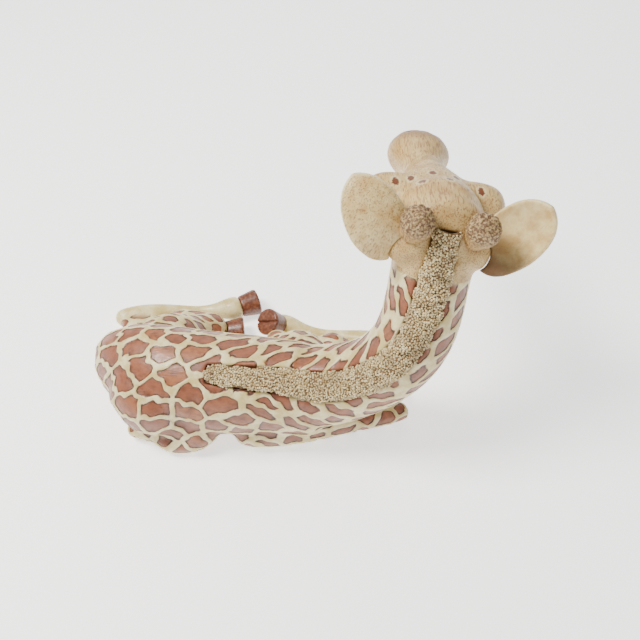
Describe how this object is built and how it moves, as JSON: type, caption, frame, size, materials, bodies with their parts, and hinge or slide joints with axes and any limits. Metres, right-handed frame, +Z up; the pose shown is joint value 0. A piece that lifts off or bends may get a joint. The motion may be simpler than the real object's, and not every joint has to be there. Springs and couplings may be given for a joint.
{
  "type": "resting giraffe figurine",
  "caption": "Painted resting giraffe figure with folded legs, a curved neck turned back, knobbed horns and a raised mane, for a shelf.",
  "frame": {"origin": "bottom centre of the whole statue's box, on the shelf", "axes": "+X from the rump to the chest, +Y to the animal's left, the way the face looks, +Z up"},
  "size_m": [0.2792, 0.165, 0.1959],
  "materials": {
    "painted_hide": "brown patches on cream, painted, satin",
    "ear_hide": "etched and painted, satin",
    "mane_hair": "stippled and painted, satin",
    "horn": "rough stippled, painted",
    "hoof": "dark brown, satin",
    "eye_glass": "polished, black",
    "dowel_wood": "plain",
    "felt": "felt"
  },
  "bodies": {
    "root": {"torso": "painted_hide", "neck": "painted_hide", "head": "painted_hide", "hind_left_thigh": "painted_hide", "hind_left_gaskin": "painted_hide", "hind_left_cannon": "painted_hide", "hind_right_thigh": "painted_hide", "hind_right_gaskin": "painted_hide", "hind_right_cannon": "painted_hide", "fore_left_shoulder": "painted_hide", "fore_left_forearm": "painted_hide", "fore_left_cannon": "painted_hide", "fore_right_forearm": "painted_hide", "fore_right_cannon": "painted_hide", "tail": "painted_hide", "ear_left": "ear_hide", "ear_right": "ear_hide", "mane": "mane_hair", "tail_tuft": "mane_hair", "ossicone_left": "horn", "ossicone_right": "horn", "hind_left_hoof": "hoof", "hind_right_hoof": "hoof", "fore_left_hoof": "hoof", "fore_right_hoof": "hoof", "eye_left": "eye_glass", "eye_right": "eye_glass", "neck_dowel": "dowel_wood", "head_dowel": "dowel_wood", "leg_dowels": "dowel_wood", "felt_pads": "felt"}
  },
  "joints": []
}
